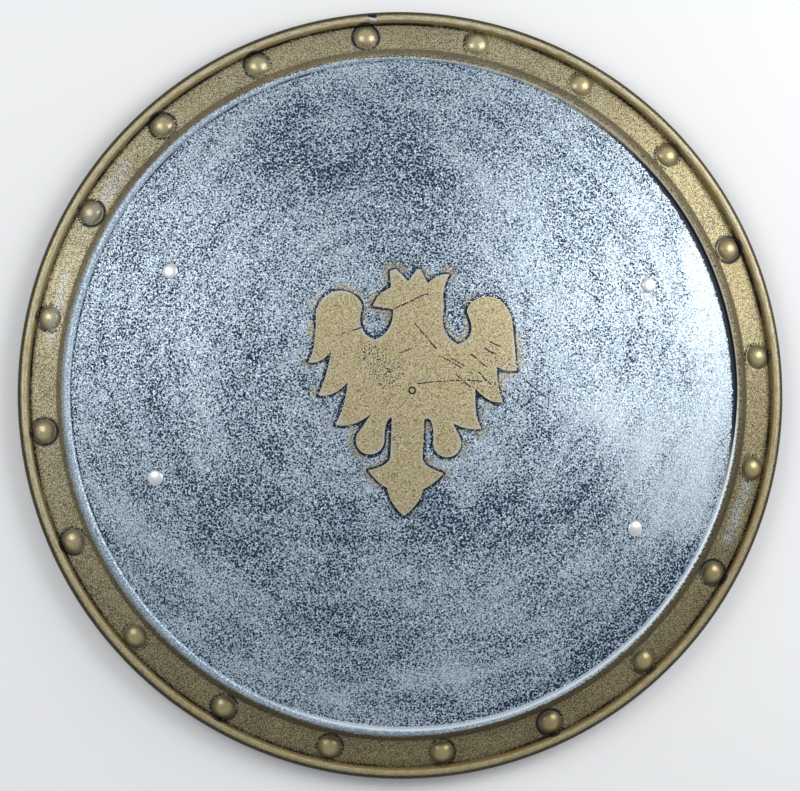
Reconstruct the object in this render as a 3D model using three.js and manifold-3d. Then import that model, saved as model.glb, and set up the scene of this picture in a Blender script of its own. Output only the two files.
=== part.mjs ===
// A round toy shield, 500 mm across: one black plastic moulding with a domed face, a raised ring,
// a studded band, a rolled rim and a crowned eagle in low relief. Four double-cap rivets go through
// the dome and hold two webbing arm straps behind it.
//
// Units are millimetres. The shield lies face up on its rim: +Z points out of the face, +Y is the
// eagle's head end, and the origin is the middle of the rim's underside.

import * as THREE from 'three';
import { mergeVertices } from 'three/addons/utils/BufferGeometryUtils.js';
import Module from 'manifold-3d';

const wasm = await Module();
wasm.setup();

// ---------------------------------------------------------------- driving dimensions

const RIM_RADIUS = 250;
const DOME_HEIGHT = 75;
const WALL = 2;

// The dome is part of a sphere. It ends at the crease inside the raised ring.
const DOME_RADIUS = 533;
const DOME_EDGE = 215.5;
const DOME_CENTRE_Z = DOME_HEIGHT - DOME_RADIUS;

// The raised ring stands between the dome's edge and the steep wall down to the band.
const RING_OUTER = 220.4;
const RING_RISE = 1.8;

// The studded band slopes down from the wall's foot to the crease beside the rim bead.
const BAND_INNER = 224.5;
const BAND_INNER_Z = 15;
const BAND_OUTER = 241.8;
const BAND_OUTER_Z = 9;
const FOOT_FILLET = 1.6;

// The rim bead is half round, and its outside runs straight down to the ground.
const BEAD_RADIUS = 4;
const BEAD_Z = 10;

const STUD_COUNT = 20;
const STUD_RING = 234;
const STUD_START_DEG = 6.1;
const STUD_DIAMETER = 16;
const STUD_RISE = 4.6;

const EAGLE_RELIEF = 1.8;
const EAGLE_TURN_DEG = -2;
const EAGLE_REACH = 95;

// Rivets sit on one circle and point at the middle of the dome's sphere.
const RIVET_RING = 170.5;
const RIVET_ANGLES_DEG = { upper_left: 153.3, lower_left: 198.9, upper_right: 24, lower_right: -30.9 };
const RIVET_HOLE_RADIUS = 2.1;
const POST_RADIUS = 1.7;
const CAP_RADIUS = 4.9;
const CAP_EDGE = 0.7;
const CAP_RISE = 1.3;

const STRAP_WIDTH = 30;
const STRAP_THICKNESS = 2;
const STRAP_END = 13;
const STRAP_FLAT = 7;
const STRAP_BOW = 36;
const STRAP_BOW_POWER = 1.25;

// Pieces that touch keep this gap. A strap is flat across its width, so it stands a little further off.
const GAP = 0.3;
const STRAP_GAP = 0.6;

// Facets round a full turn, and along curves.
const SHELL_FACETS = 72;
const DOME_STEPS = 8;
const BACK_STEPS = 8;
const RING_STEPS = 3;
const BEAD_STEPS = 5;
const STUD_FACETS = 10;
const RIVET_FACETS = 10;
const HOLE_FACETS = 10;
const OUTLINE_STEPS = 3;
const EAGLE_STEPS = 4;
const STRAP_STEPS = 18;

// ---------------------------------------------------------------- materials

const plastic = new THREE.MeshStandardMaterial({ color: 0x8b959b, roughness: 0.5, metalness: 0.3 });
const nickel = new THREE.MeshStandardMaterial({ color: 0xd5d6d8, roughness: 0.2, metalness: 1 });
const webbing = new THREE.MeshStandardMaterial({ color: 0x17171a, roughness: 0.9, metalness: 0 });

// ---------------------------------------------------------------- helpers

const radians = THREE.MathUtils.degToRad;

function pointOnArc(centreX, centreY, radius, degrees) {
  return new THREE.Vector2(
    centreX + radius * Math.cos(radians(degrees)),
    centreY + radius * Math.sin(radians(degrees)),
  );
}

function arc(centreX, centreY, radius, fromDeg, toDeg, steps) {
  const points = [];
  for (let i = 0; i <= steps; i += 1) {
    points.push(pointOnArc(centreX, centreY, radius, fromDeg + ((toDeg - fromDeg) * i) / steps));
  }
  return points;
}

// A turned solid about +Z. The profile runs from the top of the axis round the outside to its foot.
function turned(profile, facets) {
  const geometry = new THREE.LatheGeometry([...profile].reverse(), facets);
  geometry.rotateX(Math.PI / 2);
  return geometry;
}

// A closed geometry as a solid that can be joined and cut.
function solid(geometry) {
  const bare = geometry.clone();
  bare.deleteAttribute('normal');
  bare.deleteAttribute('uv');
  const merged = mergeVertices(bare, 1e-4);
  const corners = merged.index.array;
  const triangles = [];
  for (let i = 0; i < corners.length; i += 3) {
    const [a, b, c] = corners.subarray(i, i + 3);
    if (a !== b && b !== c && c !== a) {
      triangles.push(a, b, c);
    }
  }
  return new wasm.Manifold(new wasm.Mesh({
    numProp: 3,
    vertProperties: new Float32Array(merged.attributes.position.array),
    triVerts: new Uint32Array(triangles),
  }));
}

function geometryOf(manifold) {
  const mesh = manifold.getMesh();
  const geometry = new THREE.BufferGeometry();
  geometry.setAttribute('position', new THREE.BufferAttribute(new Float32Array(mesh.vertProperties), 3));
  geometry.setIndex(new THREE.BufferAttribute(new Uint32Array(mesh.triVerts), 1));
  geometry.computeVertexNormals();
  return geometry;
}

function sphereZ(radius, distance) {
  return DOME_CENTRE_Z + Math.sqrt(radius * radius - distance * distance);
}

// The direction from the dome's centre to a point of its face, at a distance and angle from the axis.
function domeNormal(distance, degrees) {
  const x = distance * Math.cos(radians(degrees));
  const y = distance * Math.sin(radians(degrees));
  const z = sphereZ(DOME_RADIUS, distance) - DOME_CENTRE_Z;
  return new THREE.Vector3(x, y, z).normalize();
}

// Turns +Z to a direction, and moves the origin to a point.
function placing(direction, point) {
  const turn = new THREE.Quaternion().setFromUnitVectors(new THREE.Vector3(0, 0, 1), direction);
  return new THREE.Matrix4().compose(point, turn, new THREE.Vector3(1, 1, 1));
}

function domePlacing(degrees) {
  const normal = domeNormal(RIVET_RING, degrees);
  const point = normal.clone().multiplyScalar(DOME_RADIUS);
  point.z += DOME_CENTRE_Z;
  return placing(normal, point);
}

// ---------------------------------------------------------------- the moulding

function faceProfile() {
  const points = [];
  for (let i = 0; i <= DOME_STEPS; i += 1) {
    const distance = (DOME_EDGE * i) / DOME_STEPS;
    points.push(new THREE.Vector2(distance, sphereZ(DOME_RADIUS, distance)));
  }
  const edgeZ = sphereZ(DOME_RADIUS, DOME_EDGE);
  const ringRadius = (RING_OUTER - DOME_EDGE) / 2;
  const ringCentre = DOME_EDGE + ringRadius;
  const ringZ = edgeZ + RING_RISE - ringRadius;
  points.push(...arc(ringCentre, ringZ, ringRadius, 135, 0, RING_STEPS));
  points.push(new THREE.Vector2(BAND_INNER - FOOT_FILLET, BAND_INNER_Z + 3 * FOOT_FILLET));
  points.push(new THREE.Vector2(BAND_INNER, BAND_INNER_Z));
  points.push(new THREE.Vector2(BAND_OUTER, BAND_OUTER_Z));
  points.push(...arc(RIM_RADIUS - BEAD_RADIUS, BEAD_Z, BEAD_RADIUS, 180, 0, BEAD_STEPS));
  points.push(new THREE.Vector2(RIM_RADIUS, 0));
  return points;
}

function backProfile() {
  const points = [new THREE.Vector2(RIM_RADIUS - WALL, 0)];
  points.push(...arc(RIM_RADIUS - BEAD_RADIUS, BEAD_Z, BEAD_RADIUS - WALL, 0, 150, 2));
  points.push(new THREE.Vector2(BAND_OUTER - WALL / 3, BAND_OUTER_Z - WALL));
  points.push(new THREE.Vector2(BAND_INNER - WALL, BAND_INNER_Z - WALL));
  const backRadius = DOME_RADIUS - WALL;
  const backEdge = RING_OUTER - WALL;
  for (let i = BACK_STEPS; i >= 0; i -= 1) {
    const distance = (backEdge * i) / BACK_STEPS;
    points.push(new THREE.Vector2(distance, sphereZ(backRadius, distance)));
  }
  return points;
}

// One domed stud, its foot sunk in the band and its axis square to the band's slope.
function stud(degrees) {
  const half = STUD_DIAMETER / 2;
  const capRadius = (half * half + STUD_RISE * STUD_RISE) / (2 * STUD_RISE);
  const edgeAngle = (Math.asin((capRadius - STUD_RISE) / capRadius) * 180) / Math.PI;
  const dome = arc(0, STUD_RISE - capRadius, capRadius, 90, edgeAngle, 3);
  const profile = [...dome, new THREE.Vector2(half, -WALL / 2), new THREE.Vector2(0, -WALL / 2)];
  const geometry = turned(profile, STUD_FACETS);
  const slope = (BAND_INNER_Z - BAND_OUTER_Z) / (BAND_OUTER - BAND_INNER);
  const bandZ = BAND_OUTER_Z + slope * (BAND_OUTER - STUD_RING);
  const direction = new THREE.Vector3(slope, 0, 1).normalize();
  geometry.applyMatrix4(placing(direction, new THREE.Vector3(STUD_RING, 0, bandZ)));
  geometry.rotateZ(radians(degrees));
  return solid(geometry);
}

// ---------------------------------------------------------------- the eagle's outline

// Distances are from the eagle's own upright axis. A wing runs from the notch beside the neck over the
// shoulder to three feathers, and each feather is the bend of its outer edge, its tip and the valley
// below it. The two wings differ a little. A shoulder is one curve, given by its ends and two bends.
const WINGS = [
  {
    side: 1,
    notch: [28, 30.5],
    notchBend: [42, 35],
    feathers: [
      { bend: [64.5, 34], tip: [66.5, 15.5], valley: [53.5, 17.5] },
      { bend: [54, 4], tip: [58.3, -5], valley: [40.3, 3] },
      { bend: [40, -16], tip: [45.3, -22.5], valley: [26.5, -19.5] },
    ],
  },
  {
    side: -1,
    notch: [25, 31.3],
    notchBend: [37.5, 36],
    feathers: [
      { bend: [61, 24], tip: [66.3, 15.7], valley: [52, 23.2] },
      { bend: [54, 7], tip: [59.2, -5], valley: [40.8, 4] },
      { bend: [42, -13], tip: [47.8, -23.4], valley: [25, -15.3] },
    ],
  },
];
const SHOULDER = [[33.5, 51], [33, 61.5], [56, 70], [62.5, 48]];
const FEATHER_SAG = 2;
const BELLY_Y = -18;
const LEG = { axis: -1, x: 24.5, y: -32.4, radius: 9, hipInner: 13, hipOuter: 24, hipY: -14 };
const TAIL = {
  axis: -2,
  halfWidth: 10.2,
  rootY: -43,
  barb: 24,
  barbY: -51.5,
  waist: 11.5,
  waistY: -62,
  tipY: -79.4,
};

function wingShape({ side, notch, notchBend, feathers }) {
  const shape = new THREE.Shape();
  const [inner, innerBend, outerBend, outer] = SHOULDER.map(([x, y]) => [side * x, y]);
  shape.moveTo(0, BELLY_Y);
  shape.lineTo(0, notch[1]);
  shape.lineTo(side * notch[0], notch[1]);
  shape.quadraticCurveTo(side * notchBend[0], notchBend[1], ...inner);
  shape.bezierCurveTo(...innerBend, ...outerBend, ...outer);
  for (const { bend, tip, valley } of feathers) {
    const middle = (tip[0] + valley[0]) / 2;
    shape.quadraticCurveTo(side * bend[0], bend[1], side * tip[0], tip[1]);
    shape.quadraticCurveTo(side * middle, tip[1] - FEATHER_SAG, side * valley[0], valley[1]);
  }
  return shape;
}

function headShape() {
  const shape = new THREE.Shape();
  shape.moveTo(28, 22);
  shape.lineTo(28, 31);
  shape.quadraticCurveTo(15, 37, 18.8, 54);
  shape.quadraticCurveTo(16, 64, 22.3, 75);
  shape.quadraticCurveTo(14, 75, 8, 68.5);
  shape.lineTo(2, 78);
  shape.lineTo(-4.7, 69.3);
  shape.lineTo(-12.5, 77);
  shape.lineTo(-16.5, 75.8);
  shape.lineTo(-15.3, 65);
  shape.quadraticCurveTo(-24, 61, -26.6, 52.7);
  shape.lineTo(-13.6, 51.2);
  shape.quadraticCurveTo(-13, 36, -24, 31.2);
  shape.lineTo(-24, 22);
  return shape;
}

function legShape(side) {
  const { axis, x, y, radius, hipInner, hipOuter, hipY } = LEG;
  const shape = new THREE.Shape();
  shape.moveTo(axis + side * hipInner, hipY);
  shape.quadraticCurveTo(axis + side * (x - radius + 1), y + radius, axis + side * (x - radius), y);
  for (const point of arc(x, y, radius, 195, 360, 2 * OUTLINE_STEPS)) {
    shape.lineTo(axis + side * point.x, point.y);
  }
  shape.lineTo(axis + side * hipOuter, hipY);
  return shape;
}

function tailShape() {
  const { axis, halfWidth, rootY, barb, barbY, waist, waistY, tipY } = TAIL;
  const shape = new THREE.Shape();
  shape.moveTo(axis - halfWidth, LEG.hipY);
  shape.lineTo(axis - halfWidth, rootY);
  shape.quadraticCurveTo(axis - halfWidth - 1.5, barbY + 3, axis - barb, barbY);
  shape.quadraticCurveTo(axis - 18, waistY + 3, axis - waist, waistY);
  shape.quadraticCurveTo(axis - waist + 2, waistY - 10, axis, tipY);
  shape.quadraticCurveTo(axis + waist - 2, waistY - 10, axis + waist, waistY);
  shape.quadraticCurveTo(axis + 18, waistY + 3, axis + barb, barbY);
  shape.quadraticCurveTo(axis + halfWidth + 1.5, barbY + 3, axis + halfWidth, rootY);
  shape.lineTo(axis + halfWidth, LEG.hipY);
  return shape;
}

// The eagle's silhouette, cut to the dome's curve one relief height above it.
function eagle() {
  const shapes = [...WINGS.map(wingShape), headShape(), legShape(1), legShape(-1), tailShape()];
  const foot = DOME_RADIUS - WALL / 2;
  const top = DOME_RADIUS + EAGLE_RELIEF;
  const low = sphereZ(foot, EAGLE_REACH);
  const depth = sphereZ(top, 0) + EAGLE_RELIEF - low;
  const settings = { depth, bevelEnabled: false, curveSegments: OUTLINE_STEPS };
  const parts = shapes.map((shape) => solid(new THREE.ExtrudeGeometry(shape, settings)));
  const outline = parts.reduce((whole, part) => whole.add(part));

  const layer = [];
  for (let i = 0; i <= EAGLE_STEPS; i += 1) {
    const distance = (EAGLE_REACH * i) / EAGLE_STEPS;
    layer.push(new THREE.Vector2(distance, sphereZ(top, distance)));
  }
  for (let i = EAGLE_STEPS; i >= 0; i -= 1) {
    const distance = (EAGLE_REACH * i) / EAGLE_STEPS;
    layer.push(new THREE.Vector2(distance, sphereZ(foot, distance)));
  }
  return outline
    .rotate([0, 0, EAGLE_TURN_DEG])
    .translate([0, 0, low])
    .intersect(solid(turned(layer, SHELL_FACETS / 2)));
}

function rivetHole(degrees) {
  const depth = 8 * WALL;
  const geometry = new THREE.CylinderGeometry(RIVET_HOLE_RADIUS, RIVET_HOLE_RADIUS, depth, HOLE_FACETS);
  geometry.rotateX(Math.PI / 2);
  geometry.applyMatrix4(domePlacing(degrees));
  return solid(geometry);
}

function shell() {
  let body = solid(turned([...faceProfile(), ...backProfile()], SHELL_FACETS));
  for (let i = 0; i < STUD_COUNT; i += 1) {
    body = body.add(stud(STUD_START_DEG + (360 * i) / STUD_COUNT));
  }
  body = body.add(eagle());
  for (const degrees of Object.values(RIVET_ANGLES_DEG)) {
    body = body.subtract(rivetHole(degrees));
  }
  return geometryOf(body);
}

// ---------------------------------------------------------------- rivets and straps

// One rivet in its own frame: z = 0 is the dome's outer face, and the post runs down to the back cap.
function rivetGeometry() {
  const backFace = -(WALL + STRAP_GAP + STRAP_THICKNESS + GAP);
  const capCurve = (start, sign) => [1, 0.65, 0].map((share) => new THREE.Vector2(
    CAP_RADIUS * share,
    start + sign * (CAP_EDGE + CAP_RISE * Math.sqrt(1 - share * share)),
  ));
  const profile = [
    ...capCurve(GAP, 1).reverse(),
    new THREE.Vector2(CAP_RADIUS, GAP),
    new THREE.Vector2(POST_RADIUS, GAP),
    new THREE.Vector2(POST_RADIUS, backFace),
    new THREE.Vector2(CAP_RADIUS, backFace),
    ...capCurve(backFace, -1),
  ];
  return turned(profile, RIVET_FACETS);
}

// A strap runs in the plane through its two rivets and the dome's centre. Its ends lie flat behind
// the dome, and between them it bows inwards to leave room for an arm or a hand.
function strap(upperDeg, lowerDeg) {
  const upper = domeNormal(RIVET_RING, upperDeg);
  const lower = domeNormal(RIVET_RING, lowerDeg);
  const middle = upper.clone().add(lower).normalize();
  const along = upper.clone().sub(lower).normalize();
  const across = new THREE.Vector3().crossVectors(along, middle).normalize();

  const flatRadius = DOME_RADIUS - WALL - STRAP_GAP - STRAP_THICKNESS / 2;
  const rivetAngle = upper.angleTo(middle);
  const endAngle = rivetAngle + STRAP_END / flatRadius;
  const bowAngle = rivetAngle - STRAP_FLAT / flatRadius;
  const route = (angle) => {
    const share = Math.min(Math.abs(angle) / bowAngle, 1);
    const radius = flatRadius - STRAP_BOW * (1 - share * share) ** STRAP_BOW_POWER;
    return new THREE.Vector2(radius * Math.sin(angle), radius * Math.cos(angle));
  };

  const angles = [-endAngle];
  for (let i = 0; i <= STRAP_STEPS; i += 1) {
    angles.push(bowAngle * ((2 * i) / STRAP_STEPS - 1));
  }
  angles.push(endAngle);

  const nearDome = [];
  const nearArm = [];
  for (const angle of angles) {
    const point = route(angle);
    const direction = route(angle + 1e-4).sub(route(angle - 1e-4)).normalize();
    const out = new THREE.Vector2(-direction.y, direction.x).multiplyScalar(STRAP_THICKNESS / 2);
    nearDome.push(point.clone().add(out));
    nearArm.unshift(point.clone().sub(out));
  }
  const section = new THREE.Shape([...nearDome, ...nearArm]);
  const geometry = new THREE.ExtrudeGeometry(section, { depth: STRAP_WIDTH, bevelEnabled: false });
  geometry.translate(0, 0, -STRAP_WIDTH / 2);
  const frame = new THREE.Matrix4().makeBasis(along, middle, across);
  frame.setPosition(0, 0, DOME_CENTRE_Z);
  geometry.applyMatrix4(frame);
  return geometryOf(solid(geometry).subtract(rivetHole(upperDeg)).subtract(rivetHole(lowerDeg)));
}

// ---------------------------------------------------------------- the shield

function piece(name, geometry, material) {
  const mesh = new THREE.Mesh(geometry, material);
  mesh.name = name;
  return mesh;
}

const shield = new THREE.Group();
shield.add(piece('shell', shell(), plastic));
for (const [place, degrees] of Object.entries(RIVET_ANGLES_DEG)) {
  const rivet = piece(`rivet_${place}`, rivetGeometry(), nickel);
  rivet.applyMatrix4(domePlacing(degrees));
  shield.add(rivet);
}
for (const side of ['left', 'right']) {
  const geometry = strap(RIVET_ANGLES_DEG[`upper_${side}`], RIVET_ANGLES_DEG[`lower_${side}`]);
  shield.add(piece(`arm_strap_${side}`, geometry, webbing));
}

export default shield;
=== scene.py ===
"""A round toy shield, lying face up on its rim: a black plastic moulding with brushed silver and
gold paint, four nickel rivets and two webbing arm straps. Lengths are in metres, +Z out of the
face."""

import math

import bmesh
import bpy
import numpy as np
from mathutils import Matrix, Vector
from mathutils.geometry import interpolate_bezier


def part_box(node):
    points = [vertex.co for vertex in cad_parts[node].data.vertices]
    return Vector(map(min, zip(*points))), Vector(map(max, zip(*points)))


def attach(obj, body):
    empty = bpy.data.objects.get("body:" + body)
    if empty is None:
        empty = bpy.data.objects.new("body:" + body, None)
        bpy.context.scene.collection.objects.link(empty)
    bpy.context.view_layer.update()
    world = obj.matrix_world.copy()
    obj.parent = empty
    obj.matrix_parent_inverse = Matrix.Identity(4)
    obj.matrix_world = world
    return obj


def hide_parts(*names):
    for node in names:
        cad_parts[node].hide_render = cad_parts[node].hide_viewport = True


bl_info = {
    "name": "Round toy shield",
    "version": (1, 0, 0),
    "blender": (4, 5, 0),
    "location": "3D Viewport > Sidebar > Shield",
    "description": "Builds a moulded round shield with its rivets, arm straps and a studio",
    "category": "Object",
}

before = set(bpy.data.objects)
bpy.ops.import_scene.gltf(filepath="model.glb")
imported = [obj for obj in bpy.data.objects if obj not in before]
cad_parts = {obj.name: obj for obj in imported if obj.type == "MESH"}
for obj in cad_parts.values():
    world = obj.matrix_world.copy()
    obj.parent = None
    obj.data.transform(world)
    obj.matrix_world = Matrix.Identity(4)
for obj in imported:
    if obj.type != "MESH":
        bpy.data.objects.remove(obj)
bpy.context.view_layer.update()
SHELL_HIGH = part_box("shell")[1]

MM = 0.001

# ---------------------------------------------------------------- sizes of the moulding

RIM_RADIUS = SHELL_HIGH.x
EAGLE_RELIEF = 1.8 * MM
DOME_TOP = SHELL_HIGH.z - EAGLE_RELIEF
WALL = 2 * MM
DOME_RADIUS = 533 * MM
DOME_EDGE = 215.5 * MM
DOME_CENTRE = Vector((0, 0, DOME_TOP - DOME_RADIUS))
RING_OUTER = 220.4 * MM
RING_RISE = 1.8 * MM
BAND_INNER = 224.5 * MM
BAND_INNER_Z = 15 * MM
BAND_OUTER = 241.8 * MM
BAND_OUTER_Z = 9 * MM
BEAD_RADIUS = 4 * MM
BEAD_Z = 10 * MM

STUD_COUNT = 20
STUD_RING = 234 * MM
STUD_START = math.radians(6.1)
STUD_HALF = 8 * MM
STUD_RISE = 4.6 * MM
STUD_FILLET = 0.8 * MM

RIVET_NODES = ("rivet_upper_left", "rivet_lower_left", "rivet_upper_right", "rivet_lower_right")
RIVET_HOLE = 2.1 * MM
POST_RADIUS = 1.7 * MM
CAP_RADIUS = 4.9 * MM
CAP_RISE = 2 * MM
CAP_LIP = 0.12 * MM
CAP_TUCK = 0.15 * MM
CAP_FACETS = 48

STRAP_GAP = 0.6 * MM
STRAP_THICKNESS = 2 * MM
STRAP_END = 13 * MM
STRAP_FLAT = 7 * MM
STRAP_BOW_POWER = 1.25

# Half a rivet's length over both caps: the wall, the strap, their gaps and the two caps.
CAP_GAP = 0.3 * MM
HALF_RIVET = (WALL + STRAP_GAP + STRAP_THICKNESS + 2 * CAP_GAP) / 2 + CAP_RISE

# Steps round the shield, and round a stud or the ring mark.
FACETS = 320
SMALL_FACETS = 40

EAGLE_TURN = math.radians(-2)
EAGLE_CORNER = 0.7 * MM
EAGLE_BEVEL = 0.55 * MM
EAGLE_REACH = 84 * MM
EAGLE_GRID = 56
SHARPEST_ROUNDED = math.radians(115)
MARK_RADIUS = 2 * MM
MARK_RIDGE = 0.45 * MM

# Material slots of the shell's mesh.
FACE, BACK, EAGLE_TOP, EAGLE_SIDE = range(4)

# The camera looks down on the face from a little to the left of and below the dome's axis.
CAMERA_DIRECTION = Vector((-0.083, -0.034, 1)).normalized()
CAMERA_TARGET = Vector((-1.4, -0.6, 0)) * MM
FRAME_WIDTH = 523.5 * MM
SENSOR_WIDTH = 36

FLOOR_HALF = 4
FLOOR_GAP = 0.3 * MM
SOFTBOX_SIZE = (0.8, 1.0)
RIGHT_SOFTBOX = Vector((0.95, 0.45, 0.85))
LEFT_SOFTBOX = Vector((-0.95, 0.45, 1.05))
SKY = (0.92, 0.96, 1.0)
SKY_STRENGTH = 0.44


# ---------------------------------------------------------------- settings a user would change


class ShieldSizes(bpy.types.PropertyGroup):
    eagle_slope: bpy.props.FloatProperty(
        name="Eagle slope",
        description="How far the eagle's sides spread outwards from its top to the dome",
        default=0.9 * MM,
        min=0.1 * MM,
        max=2 * MM,
        precision=4,
        unit="LENGTH",
    )
    strap_width: bpy.props.FloatProperty(
        name="Strap width",
        description="Width of the webbing",
        default=30 * MM,
        min=15 * MM,
        max=50 * MM,
        precision=4,
        unit="LENGTH",
    )
    strap_bow: bpy.props.FloatProperty(
        name="Strap bow",
        description="How far a strap's middle stands off the dome",
        default=36 * MM,
        min=10 * MM,
        max=38 * MM,
        precision=4,
        unit="LENGTH",
    )


class ShieldPaint(bpy.types.PropertyGroup):
    silver: bpy.props.FloatVectorProperty(
        name="Silver",
        description="Silver paint on the dome",
        subtype="COLOR",
        size=3,
        min=0,
        max=1,
        default=(0.64, 0.73, 0.81),
    )
    gold: bpy.props.FloatVectorProperty(
        name="Gold",
        description="Gold paint on the band, the rim and the eagle",
        subtype="COLOR",
        size=3,
        min=0,
        max=1,
        default=(0.545, 0.445, 0.205),
    )
    plastic: bpy.props.FloatVectorProperty(
        name="Plastic",
        description="The moulding's own black plastic",
        subtype="COLOR",
        size=3,
        min=0,
        max=1,
        default=(0.009, 0.012, 0.020),
    )
    webbing: bpy.props.FloatVectorProperty(
        name="Webbing",
        description="The woven arm straps",
        subtype="COLOR",
        size=3,
        min=0,
        max=1,
        default=(0.017, 0.017, 0.019),
    )


class ShieldStage(bpy.types.PropertyGroup):
    right_light: bpy.props.FloatProperty(
        name="Right light",
        description="Power of the soft light on the right",
        default=9.6,
        min=0,
        unit="POWER",
    )
    left_light: bpy.props.FloatProperty(
        name="Left light",
        description="Power of the soft light on the left",
        default=6.3,
        min=0,
        unit="POWER",
    )
    camera_distance: bpy.props.FloatProperty(
        name="Camera distance",
        description="How far the camera stands from the shield",
        default=2.3,
        min=1,
        unit="LENGTH",
    )
    floor: bpy.props.FloatVectorProperty(
        name="Floor",
        description="Colour of the floor",
        subtype="COLOR",
        size=3,
        min=0,
        max=1,
        default=(0.96, 0.96, 0.96),
    )


# ---------------------------------------------------------------- shader arithmetic


class Wire:
    """A socket on its way through a material. Python's operators add Math nodes behind it."""

    def __init__(self, finish, socket):
        self.finish = finish
        self.socket = socket

    def math(self, operation, *values):
        return self.finish.node("ShaderNodeMath", {"operation": operation}, values)

    def __add__(self, other):
        return self.math("ADD", self, other)

    def __radd__(self, other):
        return self.math("ADD", other, self)

    def __sub__(self, other):
        return self.math("SUBTRACT", self, other)

    def __rsub__(self, other):
        return self.math("SUBTRACT", other, self)

    def __mul__(self, other):
        return self.math("MULTIPLY", self, other)

    def __rmul__(self, other):
        return self.math("MULTIPLY", other, self)

    def __truediv__(self, other):
        return self.math("DIVIDE", self, other)

    def __rtruediv__(self, other):
        return self.math("DIVIDE", other, self)

    def __pow__(self, other):
        return self.math("POWER", self, other)

    def __abs__(self):
        return self.math("ABSOLUTE", self)

    def least(self, other):
        return self.math("MINIMUM", self, other)

    def most(self, other):
        return self.math("MAXIMUM", self, other)


class Finish:
    """A material and the means to build its nodes."""

    def __init__(self, name):
        self.material = bpy.data.materials.new(name)
        self.material.use_nodes = True
        self.tree = self.material.node_tree
        self.shader = self.tree.nodes["Principled BSDF"]

    def feed(self, socket, value):
        if isinstance(value, Wire):
            self.tree.links.new(value.socket, socket)
        else:
            socket.default_value = value

    def node(self, kind, settings=None, inputs=(), output=0):
        """Adds a node: its settings first, then the values or links of its sockets."""
        made = self.tree.nodes.new(kind)
        for key, value in (settings or {}).items():
            setattr(made, key, value)
        pairs = inputs.items() if isinstance(inputs, dict) else enumerate(inputs)
        for key, value in pairs:
            self.feed(made.inputs[key], value)
        return Wire(self, made.outputs[output])

    def set(self, **sockets):
        """Sets or links sockets of the shader, with spaces written as underscores."""
        for name, value in sockets.items():
            self.feed(self.shader.inputs[name.replace("_", " ")], value)

    def place(self):
        """Object coordinates in millimetres."""
        return self.scaled(self.node("ShaderNodeTexCoord", output="Object"), 1 / MM)

    def eagle_gap(self):
        """The distance from the eagle's outline in millimetres, below zero inside it."""
        return self.node("ShaderNodeAttribute", {"attribute_name": "eagle_gap"}, output="Fac")

    def split(self, vector):
        return [self.node("ShaderNodeSeparateXYZ", inputs=[vector], output=i) for i in range(3)]

    def join(self, x, y, z):
        return self.node("ShaderNodeCombineXYZ", inputs=[x, y, z])

    def vector(self, operation, *values, output=0):
        return self.node("ShaderNodeVectorMath", {"operation": operation}, values, output)

    def scaled(self, vector, factor):
        inputs = {"Vector": vector, "Scale": factor}
        return self.node("ShaderNodeVectorMath", {"operation": "SCALE"}, inputs)

    def noise(self, vector, scale, detail=2.0, roughness=0.5, distortion=0.0, output="Fac"):
        inputs = {
            "Vector": vector,
            "Scale": scale,
            "Detail": detail,
            "Roughness": roughness,
            "Distortion": distortion,
        }
        return self.node("ShaderNodeTexNoise", inputs=inputs, output=output)

    def step(self, value, low, high):
        """0 below low, 1 above high and smooth between. With low above high it falls instead."""
        if low > high:
            return 1 - self.step(value, high, low)
        inputs = {"Value": value, "From Min": low, "From Max": high}
        return self.node("ShaderNodeMapRange", {"interpolation_type": "SMOOTHSTEP"}, inputs)

    def mix(self, factor, first, second):
        """A colour between two colours."""
        colours = {
            key: (*value, 1) if not isinstance(value, Wire) else value
            for key, value in ((6, first), (7, second))
        }
        return self.node("ShaderNodeMix", {"data_type": "RGBA"}, {0: factor, **colours}, output=2)

    def tint(self, colour, brightness):
        """A colour made lighter or darker."""
        value = self.join(brightness, brightness, brightness)
        settings = {"data_type": "RGBA", "blend_type": "MULTIPLY"}
        first = colour if isinstance(colour, Wire) else (*colour, 1)
        return self.node("ShaderNodeMix", settings, {0: 1.0, 6: first, 7: value}, output=2)

    def stroke(self, flat, start, end, radius, fade):
        """1 within a radius of the line between two points, and 0 past the fade, in millimetres."""
        run = Vector((*end, 0)) - Vector((*start, 0))
        offset = self.vector("SUBTRACT", flat, (*start, 0))
        share = self.vector("DOT_PRODUCT", offset, tuple(run / run.length_squared), output="Value")
        share = share.most(0.0).least(1.0)
        nearest = self.vector("SUBTRACT", offset, self.scaled(tuple(run), share))
        away = self.vector("LENGTH", nearest, output="Value")
        return self.step(away, radius + fade, radius)

    def scratches(self, flat, lines):
        """1 along thin lines given by start, end and half width."""
        marks = [self.stroke(flat, start, end, half + 0.05, 0.35) for start, end, half in lines]
        found = marks[0]
        for mark in marks[1:]:
            found = found.most(mark)
        return found

    def wavy(self, flat, reach):
        """The same places pushed about a little, so that straight lines waver."""
        wobble = self.noise(flat, 0.12, 2.0, output="Color")
        push = self.vector("SUBTRACT", wobble, (0.5, 0.5, 0.5))
        return self.vector("ADD", flat, self.scaled(push, reach))

    def bump(self, height, distance, strength=1.0):
        inputs = {"Strength": strength, "Distance": distance, "Height": height}
        return self.node("ShaderNodeBump", inputs=inputs)


# ---------------------------------------------------------------- mesh helpers


def as_piece(name, bm, materials=()):
    """A mesh object at the origin made from a bmesh, which is freed."""
    mesh = bpy.data.meshes.new(name)
    bm.to_mesh(mesh)
    bm.free()
    for material in materials:
        mesh.materials.append(material)
    piece = bpy.data.objects.new(name, mesh)
    bpy.context.scene.collection.objects.link(piece)
    return piece


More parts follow.
